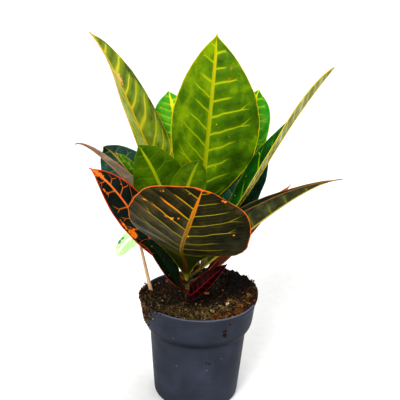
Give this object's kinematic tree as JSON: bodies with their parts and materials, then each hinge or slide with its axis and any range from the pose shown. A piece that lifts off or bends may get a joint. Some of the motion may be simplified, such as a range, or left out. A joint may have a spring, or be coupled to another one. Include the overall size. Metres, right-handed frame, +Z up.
{
  "type": "potted croton",
  "caption": "House plant with broad, leathery, variegated leaves on short woody stems, in a tapered plastic nursery pot filled with potting soil, with a thin marker stake.",
  "frame": {"origin": "centre of the pot's flat underside, on the surface it stands on", "axes": "+Z up out of the pot, -Y towards the side with the broad leaf that bends over the front, +X to the viewer's right from that side"},
  "size_m": [0.2447, 0.2169, 0.3722],
  "materials": {
    "pot_plastic": "satin",
    "potting_soil": "rough",
    "stake_wood": "planed",
    "stem_bark": "rough",
    "fresh_green": "glossy leaf",
    "bright_green": "glossy leaf",
    "olive_green": "glossy leaf",
    "deep_green": "glossy leaf",
    "dark_teal": "glossy leaf",
    "pale_green": "glossy leaf",
    "grey_brown": "satin leaf",
    "bronze_brown": "satin leaf",
    "near_black": "glossy leaf",
    "maroon": "satin leaf"
  },
  "bodies": {
    "root": {"pot": "pot_plastic", "soil": "potting_soil", "stake": "stake_wood", "stem_rear": "stem_bark", "stem_front": "stem_bark", "leaf_tall": "fresh_green", "leaf_upper_left": "olive_green", "leaf_upper_right": "deep_green", "leaf_back_left": "bright_green", "leaf_back_right": "bright_green", "leaf_teal_right": "dark_teal", "leaf_teal_left": "dark_teal", "leaf_drooping": "pale_green", "leaf_thin_left": "grey_brown", "leaf_front": "bronze_brown", "leaf_red_left": "near_black", "leaf_low_left": "deep_green", "leaf_low_right": "bronze_brown", "leaf_slim_right": "maroon", "leaf_young_left": "fresh_green", "leaf_young_centre": "fresh_green", "leaf_bud_left": "fresh_green", "leaf_at_soil": "maroon"}
  },
  "joints": []
}
